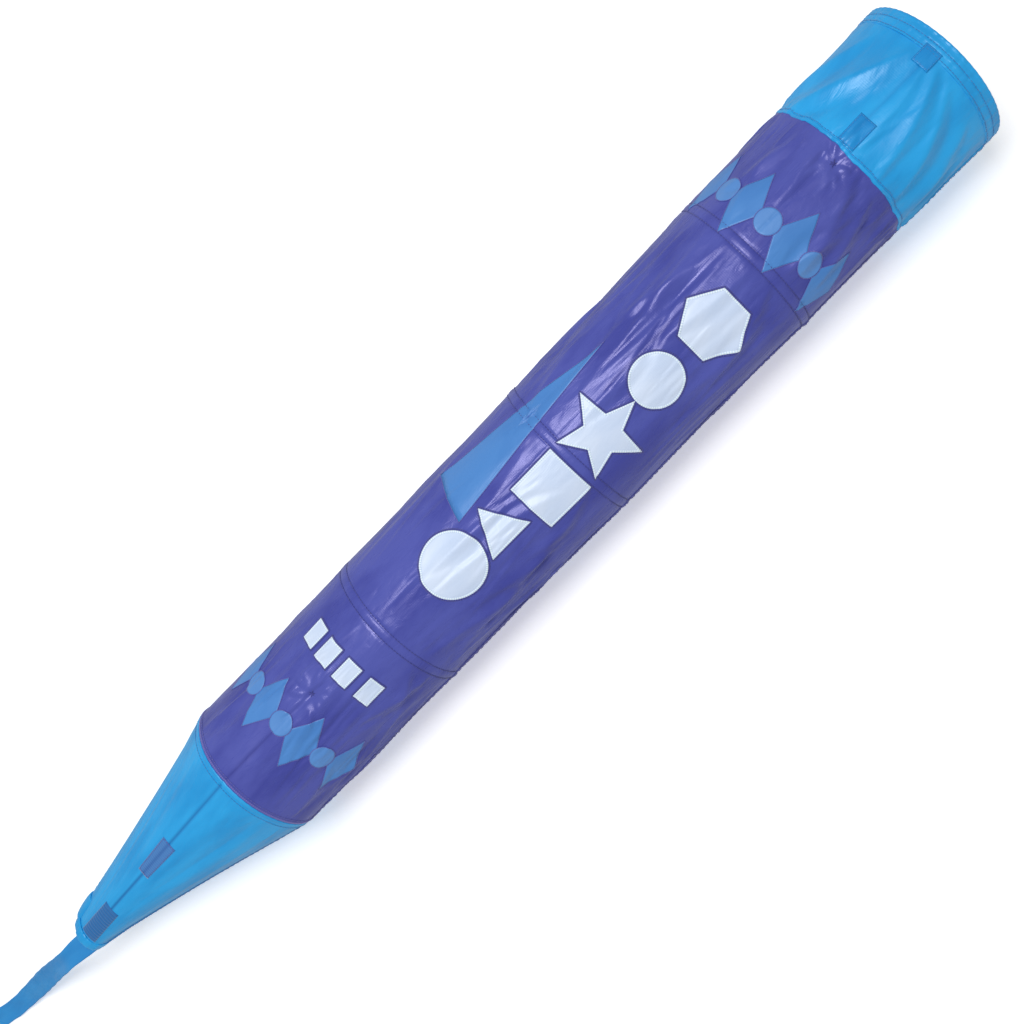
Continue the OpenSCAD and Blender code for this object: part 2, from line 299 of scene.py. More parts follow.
# %% [markdown]
# ## The radius, and a point on the cloth
#
# The relief is added to the clean shape: a cone that opens to the tube, a pull-in between
# hoops, and a ridge with two stitch grooves at each hoop. Where the tube lies on the
# floor its underside is pressed flat, by a smooth floor function that never goes below
# half a millimetre. Over a sleeve the cloth can't sink below the tape.

# %% The radius map
def clean_radius(a):
    """Radius without folds, at distance a from the tip.

    Cone: tip_r + (tube_r - tip_r) * share. Each bay pulls in by 1.5 * sin(pi * share)^0.9.
    Each hoop line adds a ridge 0.4 * exp(-(d / 4)^2) and two grooves at d = 4.8 either side.
    """
    share = np.clip((a - cuff_end) / (cone_end - cuff_end), 0, 1)
    r = tip_r + (tube_r - tip_r) * share - 1.6 * np.sin(np.pi * share)
    for low, high in bays:
        inside = np.clip((a - low) / (high - low), 0, 1)
        r = r - 1.5 * np.sin(np.pi * inside) ** 0.9
    for line in hoop_lines[1:]:
        d = a - line
        r = r + 0.4 * np.exp(-((d / 4) ** 2))
        r = r - 0.8 * np.exp(-(((np.abs(d) - 4.8) / 1.2) ** 2))
    return r


flat_share = np.clip((along_grid - 40) / 240, 0.25, 1)[:, None]
slow = sum(0.35 * np.cos(np.radians(k * round_grid[None, :] + 40 * k) + along_grid[:, None] / w)
           for k, w in ((2, 160), (3, 90), (5, 120), (7, 60)))
seam_turn = np.minimum(np.abs(round_grid - 90), np.abs(round_grid - 270)) / 360 * girth
seam_ripple = (0.3 * np.sin(along_grid[:, None] * 2 * np.pi / 8.5
                            + 2 * np.sin(along_grid[:, None] / 31))
               * np.exp(-seam_turn[None, :] / 6))
spine_turn = ((round_grid + 180) % 360 - 180) / 360 * girth
spine_crease = -0.7 * np.exp(-np.abs(spine_turn[None, :] / 1.6) ** 1.5) * np.ones_like(relief)
slack = np.interp(along_grid, [8, 16, 50, 150, 250], [0, 4.5, 7, 4, 0])
cone_slack = slack[:, None] * (np.exp(-(((round_grid - 84) / 30) ** 2))
                               - 0.45 * np.exp(-(((round_grid - 276) / 34) ** 2)))[None, :]
hold = np.ones_like(along_grid)
for line in hoop_lines[1:]:
    hold *= 1 - 0.85 * np.exp(-(((along_grid - line) / 7) ** 4))
hold *= np.clip((along_grid - 2) / 20, 0, 1) * np.clip((mouth - along_grid) / 22, 0.1, 1)
radius_map = clean_radius(along_grid)[:, None] + hold[:, None] * (
    flat_share * (relief + slow + seam_ripple) + spine_crease) + cone_slack
for line in hoop_lines[1:]:
    near = np.abs(along_grid - line) < 8.5
    radius_map[near] = np.maximum(radius_map[near], over_sleeve)
print("radius map", radius_map.shape, "from", radius_map[-40:].min().round(1),
      "to", radius_map.max().round(1))


# %% A point on the cloth
def cloth_radius(along, turn):
    """The radius map read between its grid lines, with straight-line mixing both ways."""
    row = np.clip(np.searchsorted(along_grid, along) - 1, 0, len(along_grid) - 2)
    down = np.clip((along - along_grid[row]) / (along_grid[row + 1] - along_grid[row]), 0, 1)
    where = (np.asarray(turn) % 360) / 360 * round_count
    col = np.floor(where).astype(int) % round_count
    over, nxt = where - np.floor(where), (col + 1) % round_count
    near = radius_map[row, col] * (1 - over) + radius_map[row, nxt] * over
    far = radius_map[row + 1, col] * (1 - over) + radius_map[row + 1, nxt] * over
    return near * (1 - down) + far * down


def place(along, turn, radius):
    """World point for a distance along, an angle and a radius; the floor presses it flat.

    x = tip + along, y = radius * sin(turn), height = radius * cos(turn) above the axis,
    and a height h over the floor becomes 0.5 + 0.6 * ln(1 + exp((h - 0.5) / 0.6)).
    """
    along, turn, radius = np.broadcast_arrays(along, turn, radius)
    angle = np.radians(turn)
    height = axis_z + radius * np.cos(angle)
    height = 0.5 + 0.6 * np.logaddexp(0, (height - 0.5) / 0.6)
    return np.stack([tip_x + along * MM, radius * np.sin(angle) * MM, height * MM], -1)


def on_cloth(along, turn, lift=0.0):
    """World point that stands lift millimetres over the cloth."""
    return place(along, turn, cloth_radius(along, turn) + lift)


# %% [markdown]
# ## Putting a grid into a mesh
#
# Each piece is a grid of points, so one function can join any of them into quads, put
# them into a mesh in one go, and give every corner a UV in metres. The UV stays on the
# cloth when the tube is gathered, so the weave does too.

# %% Grid helpers
def grid_quads(rows, cols, wrap=False):
    """Corner (row, col) pairs of each quad; wrap joins the last column to the first."""
    i, j = np.meshgrid(np.arange(rows - 1), np.arange(cols - (not wrap)), indexing="ij")
    corners = [np.stack([i + di, j + dj], -1) for di, dj in ((0, 0), (1, 0), (1, 1), (0, 1))]
    return np.stack(corners, 2).reshape(-1, 4, 2)


def closed_quads(n, m):
    """Corners, and point numbers, of the quads of an n by m grid joined round both ways."""
    corners = grid_quads(n + 1, m, wrap=True)
    return corners, (corners[..., 0] % n) * m + corners[..., 1] % m


def make_piece(name, points, quads, uv, material, body, extra=(), flip=False):
    """A mesh object from points (n, 3), quads (f, 4) and corner UVs (f, 4, 2).

    extra holds faces with other corner counts, such as the end caps of a tube, and flip
    turns the quads so that they face outward.
    """
    if flip:
        quads, uv = quads[:, ::-1], uv[:, ::-1]
    faces = quads.tolist() + [list(face) for face in extra]
    mesh = bpy.data.meshes.new(name)
    mesh.from_pydata(np.asarray(points, float).reshape(-1, 3).tolist(), [], faces)
    corner_uv = np.zeros((len(mesh.loops), 2), np.float32)
    corner_uv[:4 * len(quads)] = np.asarray(uv).reshape(-1, 2)
    mesh.uv_layers.new(name="cloth").data.foreach_set("uv", corner_uv.ravel())
    mesh.polygons.foreach_set("use_smooth", np.ones(len(mesh.polygons), bool))
    mesh.materials.append(material)
    mesh.update()
    piece = bpy.data.objects.new(name, mesh)
    scene.collection.objects.link(piece)
    if body:
        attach(piece, body)
    return piece


def join_grids(name, parts, material, flip=False):
    """One mesh of many grids; each part is its points, quads, UVs and caps."""
    starts = np.cumsum([0] + [len(part[0]) for part in parts])
    caps = [[i + k for i in cap] for part, k in zip(parts, starts) for cap in part[3]]
    return make_piece(name, np.concatenate([part[0] for part in parts]),
                      np.concatenate([part[1] + k for part, k in zip(parts, starts)]),
                      np.concatenate([part[2] for part in parts]), material, "cone_end", caps, flip)


def ring_surface(name, points, u_step, v_step, material, body, flip=False, swap=False):
    """A closed surface from rings (n, m, 3), with even UV steps round and across them."""
    corners, quads = closed_quads(*points.shape[:2])
    uv = np.stack([corners[..., 1] * u_step, corners[..., 0] * v_step], -1)
    return make_piece(name, points, quads, uv[..., ::-1] if swap else uv, material, body, flip=flip)


def thin_shell(name, outer, inner, across, along, material, body="cone_end"):
    """A closed sheet between two grids of one shape (n, m, 3).

    The cross-section runs over the outer row and back along the inner one, and the two
    ends are closed with a strip of quads each.
    """
    n, m = outer.shape[:2]
    points = np.concatenate([outer, inner[:, ::-1]], axis=1)
    corners = grid_quads(n, 2 * m, wrap=True)
    u = np.concatenate([across, across[::-1], across[:1]]) * MM
    uv = np.stack([u[corners[..., 1]], np.asarray(along)[corners[..., 0]] * MM], -1)
    quads = corners[..., 0] * 2 * m + corners[..., 1] % (2 * m)
    j = np.arange(m - 1)
    near = np.stack([j, j + 1, 2 * m - 2 - j, 2 * m - 1 - j], -1)
    far = near[:, ::-1] + (n - 1) * 2 * m
    quads = np.concatenate([quads, near, far])
    uv = np.concatenate([uv, np.zeros((2 * (m - 1), 4, 2))])
    return make_piece(name, points, quads, uv, material, body)


def laid_sheet(name, a, t, lift, across, along, material, body="cone_end", skin=on_cloth,
               under=-0.1):
    """A thin closed sheet laid on the cloth: its top stands lift over it, its underside is
    at under, just inside it."""
    a, t, lift = np.broadcast_arrays(a, t, lift)
    return thin_shell(name, skin(a, t, lift), skin(a, t, 0 * lift + under), across, along,
                      material, body)


def stand_in(piece, node):
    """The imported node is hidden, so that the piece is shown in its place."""
    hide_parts(node)
    return piece


def gathers(piece):
    """Gives the piece its own copy of its mesh data."""
    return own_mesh(piece)


# %% [markdown]
# ## Materials
#
# Kite nylon is a close taffeta with a thin, glossy coating on one side. The eye reads it
# from three things: an even, strong colour, long soft highlights that break at each fold,
# and a fine crinkle that never irons out. Colours are written as hex and turned to the
# linear values that shaders take.

# %% Colour and node helpers
def linear(hex_colour):
    """sRGB hex to linear: c / 12.92 below 0.04045, else ((c + 0.055) / 1.055) ^ 2.4."""
    c = np.array([int(hex_colour[i:i + 2], 16) for i in (1, 3, 5)]) / 255
    c = np.where(c <= 0.04045, c / 12.92, ((c + 0.055) / 1.055) ** 2.4)
    return (*c.tolist(), 1.0)


def blank_material(name):
    """An empty node material."""
    material = bpy.data.materials.new(name)
    material.use_nodes = True
    material.node_tree.nodes.clear()
    return material


def add(material, kind, inputs=None, out=0, **settings):
    """Adds a node, sets its own fields, gives each named input a value or a link, and
    hands back the output called out."""
    node = material.node_tree.nodes.new(kind)
    for field, value in settings.items():
        setattr(node, field, value)
    for socket, value in (inputs or {}).items():
        if isinstance(value, bpy.types.NodeSocket):
            material.node_tree.links.new(value, node.inputs[socket])
        else:
            node.inputs[socket].default_value = value
    return node.outputs[out] if node.outputs else None


def mix(material, share, low, high):
    """A mix of two colours, each a hex string or the output of a node."""
    low, high = (linear(c) if isinstance(c, str) else c for c in (low, high))
    return add(material, "ShaderNodeMix", {0: share, 6: low, 7: high}, 2, data_type="RGBA")


def painted_rod_shadow(material, tint, line):
    """The tint, darkened to line where the spine_shade attribute says that the rod shows: a painted
    shadow of the rod seen through the cloth.
    """
    rod = add(material, "ShaderNodeAttribute", out="Fac", attribute_name="spine_shade")
    return mix(material, rod, tint, line)


def surface(material, inputs):
    """Ends a material with one Principled shader."""
    shader = add(material, "ShaderNodeBsdfPrincipled", inputs)
    add(material, "ShaderNodeOutputMaterial", {"Surface": shader})
    return material


# %% Coated nylon
def coated_nylon(name, colour, deep, streak, line, gloss=0.29, crinkle=1.0):
    """Coated nylon taffeta. colour is the cloth, deep a darker tone that random blotches mix in,
    streak its sheen, and line the painted shadow of the spine's rod, seen through the cloth.

    Threads are 0.25 mm apart on the real cloth; here they are drawn at 0.9 mm, the finest
    that shows. The crinkle is 6 to 12 mm long and runs mostly along the tube.
    """
    material = blank_material(name)
    cloth = add(material, "ShaderNodeUVMap", uv_map="cloth")
    long_way = add(material, "ShaderNodeMapping", {"Vector": cloth, "Scale": (1.0, 0.35, 1.0)})
    blotches = add(material, "ShaderNodeTexNoise", {"Vector": long_way, "Scale": 28.0,
                   "Detail": 4.0, "Roughness": 0.55})
    stretched = add(material, "ShaderNodeMapRange", {"Value": blotches, "From Min": 0.36,
                    "From Max": 0.58})
    fine = add(material, "ShaderNodeTexNoise", {"Vector": long_way, "Scale": 150.0,
               "Detail": 3.0, "Roughness": 0.6, "Distortion": 0.6})
    warp, weft = (add(material, "ShaderNodeTexWave", {"Vector": cloth, "Scale": 175.0,
                      "Distortion": 0.4}, 1, wave_type="BANDS", bands_direction=way)
                  for way in "XY")
    weave = add(material, "ShaderNodeMath", {0: warp, 1: weft}, operation="ADD")
    crinkled = add(material, "ShaderNodeBump", {"Height": fine, "Strength": 0.35 * crinkle,
                   "Distance": 0.0016})
    woven = add(material, "ShaderNodeBump", {"Height": weave, "Strength": 0.10,
                "Distance": 0.0002, "Normal": crinkled})
    roughness = add(material, "ShaderNodeMapRange", {"Value": fine, "From Min": 0.3,
                    "From Max": 0.7, "To Min": gloss - 0.06, "To Max": gloss + 0.08})
    return surface(material, {
        "Base Color": painted_rod_shadow(material, mix(material, stretched, deep, colour), line),
        "Normal": woven, "Roughness": roughness, "IOR": 1.5, "Specular IOR Level": 0.55,
        "Specular Tint": linear(streak), "Sheen Weight": 0.03, "Sheen Tint": linear(streak),
        "Sheen Roughness": 0.45, "Coat Weight": 0.06, "Coat Roughness": 0.18})


# the last colour given to each cloth is the painted shadow of the spine's rod, where spine_shade is
# set
# indigo nylon: its highlights turn violet, because the coating scatters the short waves
indigo_nylon = coated_nylon("coated nylon, indigo", "#5058ab", "#40479b", "#d0c9f4", "#2a2e7c")
# sky nylon: the lighter cloth of the cone and the mouth band
sky_nylon = coated_nylon("coated nylon, sky blue", "#26a6e8", "#1a96da", "#d8f0ff", "#0e6cb2",
                         gloss=0.35)
# tail nylon: the same cloth as a cut ribbon
tail_nylon = coated_nylon("coated nylon, tail ribbon", "#3496da", "#2888cf", "#cfe6f8", "#1b7dbc",
                          gloss=0.38)
# patch nylon: the same cloth laid double, so a little deeper in colour
patch_nylon = coated_nylon("nylon patch, double blue", "#2291d6", "#1a83ca", "#b8dcf6", "#1066a8")
# motif nylon: mid-blue cloth, laid on the indigo one
motif_nylon = coated_nylon("nylon applique, mid blue", "#4d87cc", "#457ec4", "#cfe0fa", "#335ea6",
                           gloss=0.38, crinkle=0.6)
disc_nylon = coated_nylon("nylon applique, soft blue", "#588dcf", "#5186c9", "#d6e4fb", "#41699f",
                          gloss=0.38, crinkle=0.6)
# pale nylon: the lightest cloth, thin enough for the folds under it to show as soft bands
pale_nylon = coated_nylon("nylon applique, pale", "#d2e0f6", "#c6d7f2", "#ffffff", "#a9bfe2",
                          gloss=0.42, crinkle=0.6)


# %% Thread, tape and webbing
def corded_cloth(name, colour, deep, pitch=0.0011, gloss=0.6):
    """Thread or tape with a rib every pitch metres along its length, from its UV map. Where a
    piece has the spine_shade attribute, a painted shadow of the rod under it darkens it."""
    material = blank_material(name)
    cloth = add(material, "ShaderNodeUVMap", uv_map="cloth")
    ribs = add(material, "ShaderNodeTexWave", {"Vector": cloth, "Scale": 0.3142 / pitch / 2,
               "Distortion": 0.8, "Detail": 2.0}, 1, wave_type="BANDS", bands_direction="Y")
    raised = add(material, "ShaderNodeBump", {"Height": ribs, "Strength": 0.5,
                 "Distance": pitch * 0.25})
    # 1c5ea8 is the painted shadow of the spine's rod
    return surface(material, {
        "Base Color": painted_rod_shadow(material, mix(material, ribs, deep, colour), "#1c5ea8"),
        "Normal": raised, "Roughness": gloss, "Sheen Weight": 0.3})


# satin stitch: close shiny thread, laid side by side, so it is the brightest edge of a shape; its
# near-white colour is partly a painted highlight on the edge
pale_thread_and_highlight = corded_cloth("satin stitch, pale, painted highlight", "#eaf6ff", "#c6dcf2", gloss=0.4)
# sewing threads: each a little off the colour of its cloth, so that a row shows as fine dots
indigo_thread = corded_cloth("sewing thread, indigo", "#3a3d93", "#2e3184")
violet_thread = corded_cloth("sewing thread, violet", "#6a68b4", "#4f4fa4")
blue_thread = corded_cloth("sewing thread, blue", "#2a7fc0", "#1e6db2")
patch_thread = corded_cloth("sewing thread, patch blue", "#3a97dc", "#2f86cc")
# folded edges, webbing and tapes: matt, with ribs wide enough to see
sky_binding = corded_cloth("folded seam edge, blue", "#2c84c6", "#1f74b8", 0.0016)
indigo_binding = corded_cloth("folded seam edge, indigo", "#454aa0", "#393e96", 0.0016)
blue_webbing = corded_cloth("ribbed webbing, deep blue", "#0f6cb0", "#0a60a4", 0.0018)
keeper_tape = corded_cloth("nylon tape, violet blue", "#3f80c4", "#3674ba", 0.0013)
sleeve_tape = corded_cloth("sleeve tape, indigo", "#35398c", "#292c78", 0.0013)


# %% Rods, ferrules and vinyl
def hard_finish(name, colour, deep, roughness, grain, stretch=(1, 1, 1), metallic=0.0):
    """A hard finish from Object coordinates: a noise of the given grain in metres, pulled out by
    stretch, mixes the two colours and roughens the surface."""
    material = blank_material(name)
    where = add(material, "ShaderNodeTexCoord", out="Object")
    mapped = add(material, "ShaderNodeMapping", {"Vector": where, "Scale": stretch})
    noise = add(material, "ShaderNodeTexNoise", {"Vector": mapped, "Scale": 1 / grain,
                "Detail": 5.0})
    rough = add(material, "ShaderNodeMapRange", {"Value": noise, "To Min": roughness - 0.08,
                "To Max": roughness + 0.1})
    pitted = add(material, "ShaderNodeBump", {"Height": noise, "Strength": 0.25,
                 "Distance": grain * 0.1})
    return surface(material, {"Base Color": mix(material, noise, deep, colour),
                              "Roughness": rough, "Normal": pitted, "Metallic": metallic})


# pultruded fibreglass: drawn through a die, so its streaks all run along the rod
fibreglass = hard_finish("pultruded fibreglass, black", "#26272b", "#141518", 0.38, 0.0012,
                         (0.04, 1, 1))
hoop_glass = hard_finish("wound fibreglass hoop, black", "#26272b", "#141518", 0.4, 0.0012)
# drawn aluminium tube, cut into short ferrules: fine lines along it and soft metal gloss
drawn_tube = hard_finish("drawn aluminium", "#c9cbce", "#a9acb0", 0.34, 0.0008, (0.1, 1, 1), 1.0)
# dip-moulded vinyl: soft black caps with an orange-peel skin
vinyl = hard_finish("dip-moulded vinyl, black", "#1d1d20", "#121214", 0.5, 0.0009)
# twisted polyester cord of the two ties
tie_cord = hard_finish("twisted polyester cord", "#d5ddea", "#b6c2d8", 0.7, 0.0007)
print("materials", len(bpy.data.materials))

# %% [markdown]
# ## The cloth panels
#
# The tube is sewn from a top and a bottom half, each in indigo up to the mouth band and
# in sky blue after it, and the cone from two halves as well. A panel is a part of the
# radius map: an outer grid, and an inner one 0.45 mm inside it. Real nylon is thinner
# than 0.1 mm; the extra keeps the inner face clear of the outer one.

# %% Panels
def paint_spine_shadow(piece):
    """Stores the painted shadow of the rod under the cloth, on its upper half:
    exp(-(distance from the top line / 1.7)^2) times a share that depends on the distance along."""
    points = np.empty(len(piece.data.vertices) * 3)
    piece.data.vertices.foreach_get("co", points)
    x, y, z = points.reshape(-1, 3).T
    share = np.interp((x - tip_x) / MM,
                      [56, 68, 284, 289, 372, 392, 812, 816, 936, 940, 1100, 1112, 1190, 1194],
                      [0, 0.9, 0.8, 0.55, 0.5, 0, 0, 0.5, 0.45, 0, 0, 0.3, 0.3, 0])
    shade = share * np.exp(-((y / MM) / 1.7) ** 2) * (z / MM > axis_z)
    piece.data.attributes.new("spine_shade", "FLOAT", "POINT").data.foreach_set(
        "value", shade.astype(np.float32))


panels = {}
for part, a0, a1, cloth, slot in (
        ("body", cone_end, band_start, indigo_nylon, "dark_cloth"),
        ("band", band_start, mouth, sky_nylon, "light_cloth"),
        ("cone", cuff_end, cone_end, sky_nylon, "light_cloth")):
    for side, first_turn in (("top", -90), ("bottom", 90)):
        a = along_grid[(along_grid >= a0 - 0.01) & (along_grid <= a1 + 0.01)]
        round_way = np.arange(round_count // 2 + 1) * 360 / round_count
        panels[part, side] = laid_sheet(f"{part}_cloth_{side}", a[:, None], first_turn + round_way,
                                        0.0, round_way / 360 * girth, a, cloth, under=-0.45)
        # each panel gets the painted shadow of the spine's rod along its top line
        paint_spine_shadow(panels[part, side])
        stand_in(panels[part, side], f"{part}_{side}")
print("panels", {part: len(p.data.polygons) for part, p in panels.items()})

# %% [markdown]
# ## Sewn-on shapes
#
# Diamonds and discs run round both ends of the indigo cloth, and a column of large pale
# shapes stands on each face. Each is a piece of cloth with a stitched edge. Its outline is
# a closed polygon; rings that shrink to its middle make a grid of it, and every ring is
# laid on the radius map, so that the shape takes all the folds under it.

# %% Outlines
def outline(corners, gap=1.6):
    """Points round a polygon, about gap millimetres apart, with each corner kept."""
    corners = np.asarray(corners, float)
    parts = []
    for a, b in zip(corners, np.roll(corners, -1, axis=0)):
        count = max(2, int(np.hypot(*(b - a)) / gap))
        parts.append(a + (b - a) * (np.arange(count) / count)[:, None])
    return np.concatenate(parts)


def box(half_p, half_q, gap=1.6):
    """The outline of a rectangle about the origin."""
    return outline([(-half_p, -half_q), (half_p, -half_q), (half_p, half_q), (-half_p, half_q)],
                   gap)


def regular(sides, r, turn=0.0, r_odd=None):
    """Corners of a regular polygon: r * (cos, sin) of equal angles. With r_odd every second
    corner stands at that radius, which makes a star."""
    angle = np.radians(turn + np.arange(sides) * 360 / sides)
    far = np.where(np.arange(sides) % 2 == 0, r, r if r_odd is None else r_odd)
    return far[:, None] * np.stack([np.cos(angle), np.sin(angle)], -1)


def lay(shape, along, turn, lift):
    """Flat points (p, q) laid on the cloth at a place: along + p, turn + arcsin(q / radius)."""
    return on_cloth(along + shape[..., 0],
                    turn + np.degrees(np.arcsin(shape[..., 1] / (tube_r + 0.5))), lift)


def patches(name, shapes, material, lift=0.55, rings=14):
    """One mesh of many patches. shapes is a list of (outline, along, turn).

    Ring k of a patch is middle + (outline - middle) * share k; the rings go out over the top,
    drop at the rim, and come back underneath, so each patch is a closed thin solid.
    """
    share = np.linspace(0.05, 1, rings)
    lifts = np.concatenate([np.full(rings - 1, lift), [lift * 0.55], np.full(rings, -0.15)])
    share = np.concatenate([share[:-1] ** 0.9 * 0.985, [1.0], share[::-1]])
    parts = []
    for edge, along, turn in shapes:
        middle, n, m = edge.mean(0), len(share), len(edge)
        flat = middle + (edge - middle)[None] * share[:, None, None]
        corners = grid_quads(n, m, wrap=True)
        col = corners[..., 1] % m
        parts.append((lay(flat, along, turn, lifts[:, None]).reshape(-1, 3),
                      corners[..., 0] * m + col, flat[corners[..., 0], col][..., ::-1] * MM,
                      (range(m), range(n * m - 1, (n - 1) * m - 1, -1))))
    return join_grids(name, parts, material)


def edging(name, shapes, material, width, height, lift, inset=0.0, sides=8):
    """A stitched rope round each outline: half an ellipse width wide and height high.

    The path is the outline moved in by inset; the section stands on the cloth, with its
    width along the outline's own side direction, the tangent turned by a right angle.
    """
    parts = []
    for edge, along, turn in shapes:
        ahead = np.roll(edge, -1, axis=0)
        tangent = ahead - np.roll(edge, 1, axis=0)
        tangent /= np.maximum(np.hypot(*tangent.T), 1e-9)[:, None]
        side = np.stack([tangent[:, 1], -tangent[:, 0]], -1)
        angle = np.arange(sides) * 2 * np.pi / sides
        flat = edge[:, None] + side[:, None] * (np.cos(angle) * width / 2 - inset)[None, :, None]
        raised = lift + np.sin(angle) * height / 2
        corners, quads = closed_quads(len(edge), sides)
        length = np.concatenate([[0], np.cumsum(np.hypot(*(ahead - edge).T))])
        parts.append((lay(flat, along, turn, raised[None, :]).reshape(-1, 3), quads,
                      np.stack([corners[..., 1] * 0.0008, length[corners[..., 0]] * MM], -1), ()))
    return join_grids(name, parts, material, flip=True)


# %% Place the shapes
diamond, disc = outline([(-35, 0), (0, -18.6), (35, 0), (0, 18.6)]), regular(72, 12.6)
diamond_turns, disc_turns = (-60, -20, 20, 60), (-40, 0, 40)
kinds = {"mid": (motif_nylon, 0.45, "motif_cloth"), "soft": (disc_nylon, 0.75, "motif_cloth"),
         "pale": (pale_nylon, 0.75, "pale_cloth")}
sewn = []
for kind, name, shape, along, turns in (
        ("mid", "tip_diamonds", diamond, 372, diamond_turns),
        ("soft", "tip_discs", disc, 372, disc_turns),
        ("mid", "mouth_diamonds", diamond, 1016, diamond_turns),
        ("soft", "mouth_discs", disc, 1016, disc_turns),
        ("pale", "small_tiles", box(13, 9), 455, (30, 11, -9, -30)),
        ("mid", "pennant", outline([(-72, 31), (-86, -26), (126, -6)]), 720, (28,)),
        ("pale", "large_disc", regular(120, 33), 602, (-9.5,)),
        ("pale", "triangle", outline(regular(3, 29, 90)), 657, (-16,)),
        ("pale", "square", outline(regular(4, 37, 45)), 717, (-21,)),
        ("pale", "star", outline(regular(10, 42, 0, 19)), 785, (-20,)),
        ("pale", "small_disc", regular(96, 26), 853, (-21,)),
        ("pale", "hexagon", outline(regular(6, 33, 30)), 922, (-22,))):
    shapes = [(shape, along, face + turn) for face in (0, 180) for turn in turns]
    cloth, lift, slot = kinds[kind]
    pieces = [stand_in(patches(name + "_cloth", shapes, cloth, lift), name)]
    if kind == "pale":
        # the indigo rope just outside each pale shape is painted shade: a dark line in place of the
        # shadow in the groove along its edge
        pieces += [edging(name + "_shadow_line", shapes, indigo_thread, 1.7, 0.5, 0.25, -1.1),
                   edging(name + "_stitching", shapes, pale_thread_and_highlight, 2.2, 0.8, 0.65, 1.0)]
    else:
        pieces.append(edging(name + "_stitching", shapes, violet_thread, 0.6, 0.3,
                             0.4 if kind == "mid" else 0.7))
    sewn += [gathers(piece) for piece in pieces]
print("sewn-on pieces", len(sewn))

# %% [markdown]
# ## Stitches
#
# Each stitch is a short arc of thread that dips into the cloth at both ends. All of the
# stitches of a row are made at once: an arc of five rings of six points, placed between
# a start and an end on the cloth. There are hundreds of them, so each has only 26 faces.

# %% Stitch rows
def stitch_row(name, starts, ends, material, body="cone_end", thick=0.32, lift=0.15,
               skin=on_cloth):
    """Stitches from starts to ends, both (n, 2) arrays of (along, turn).

    With u from 0 to 1 the centre stands at lift + thick * sin(pi u) over the cloth, and the
    thread's radius is thick * (0.45 + 0.55 sin(pi u)).
    """
    u = np.linspace(0, 1, 5)[None, :, None]
    centre = starts[:, None] + (ends - starts)[:, None] * u
    arch = np.sin(np.pi * u[..., 0])
    middle = skin(centre[..., 0], centre[..., 1], lift + thick * arch)
    above = skin(centre[..., 0], centre[..., 1], lift + thick * arch + 1)
    out = (above - middle) / MM
    out /= np.linalg.norm(out, axis=-1, keepdims=True)
    way = middle[:, -1:] - middle[:, :1]
    side = np.cross(way / np.linalg.norm(way, axis=-1, keepdims=True), out)
    angle = (np.arange(6) * np.pi / 3)[None, None, :, None]
    r = (thick * MM * (0.45 + 0.55 * arch))[..., None, None]
    points = middle[:, :, None] + r * (out[:, :, None] * np.cos(angle)
                                       + side[:, :, None] * np.sin(angle))
    base = np.arange(len(starts))[:, None] * 30
    corners = grid_quads(5, 6, wrap=True)
    quads = (base[..., None] + (corners[..., 0] * 6 + corners[..., 1] % 6)).reshape(-1, 4)
    uv = np.tile(np.stack([corners[..., 1] * 0.0004, corners[..., 0] * 0.0007], -1),
                 (len(starts), 1, 1))
    caps = np.concatenate([base + np.arange(6), base + 24 + np.arange(5, -1, -1)]).tolist()
    return make_piece(name, points, quads, uv, material, body, caps, flip=True)


def ring_stitches(line, count=140, share=0.82):
    """Starts and ends of stitches that follow a circle at a distance along."""
    turn = np.arange(count) * 360 / count
    starts = np.stack([np.full(count, line), turn], -1)
    return starts, starts + [0, 360 / count * share]


def zigzag(a0, a1, turn, swing, pitch=3.2):
    """Starts and ends of a zigzag along the tube, swing degrees either side of turn."""
    count = int((a1 - a0) / pitch)
    a = a0 + (np.arange(count + 1)) * (a1 - a0) / count
    t = turn + swing * np.where(np.arange(count + 1) % 2 == 0, -1, 1)
    path = np.stack([a, t], -1)
    return path[:-1], path[1:]


# the two rows at each hoop lie in the grooves beside its ridge: real stitching, made thick and dark
# so that it also carries the painted shade of the grooves
for letter, line in zip("abc", hoops):
    pair = [np.concatenate(both_lines) for both_lines in
            zip(ring_stitches(line - 4.8), ring_stitches(line + 4.8))]
    gathers(stitch_row(f"hoop_{letter}_stitching", *pair, indigo_thread, thick=0.42, lift=0.2))
for side, turn in (("left", 90.0), ("right", -90.0)):
    for part, a0, a1, thread in (("body", cone_end + 4, band_start - 2, violet_thread),
                                 ("band", band_start + 6, mouth - 18, blue_thread)):
        gathers(stitch_row(f"{part}_{side}_zigzag", *zigzag(a0, a1, turn, 1.7), thread, lift=1.0))

# %% [markdown]
# ## Seams
#
# A seam is a folded strip of cloth, stitched down. The strip is a grid along its path:
# flat on top, rolled at both edges, and rippled where the thread draws it up. The edge
# between the indigo cloth and the mouth band isn't straight but waves by a millimetre.

# %% Strips
def rolled(n, width, lift, ripple, cols=9):
    """Half widths, share across, and height of a rolled strip with n rows.

    Across the strip, with v from -1 to 1, the top stands at lift * (1 - 0.85 v^6), plus a
    ripple along the path.
    """
    v, row = np.linspace(-1, 1, cols), np.arange(n)
    wave = ripple * np.sin(row * 1.7) * np.sin(row * 0.37 + 1)
    half_width = width / 2 * (1 + 0.06 * np.sin(row * 0.9 + 2))
    return half_width, v, lift * (1 - v ** 6 * 0.85) + wave[:, None] * (1 - v ** 2)


def path_length(points):
    """Distance in millimetres along a row of points, from the first one."""
    return np.concatenate([[0], np.cumsum(np.linalg.norm(np.diff(points, axis=0), axis=1))]) / MM


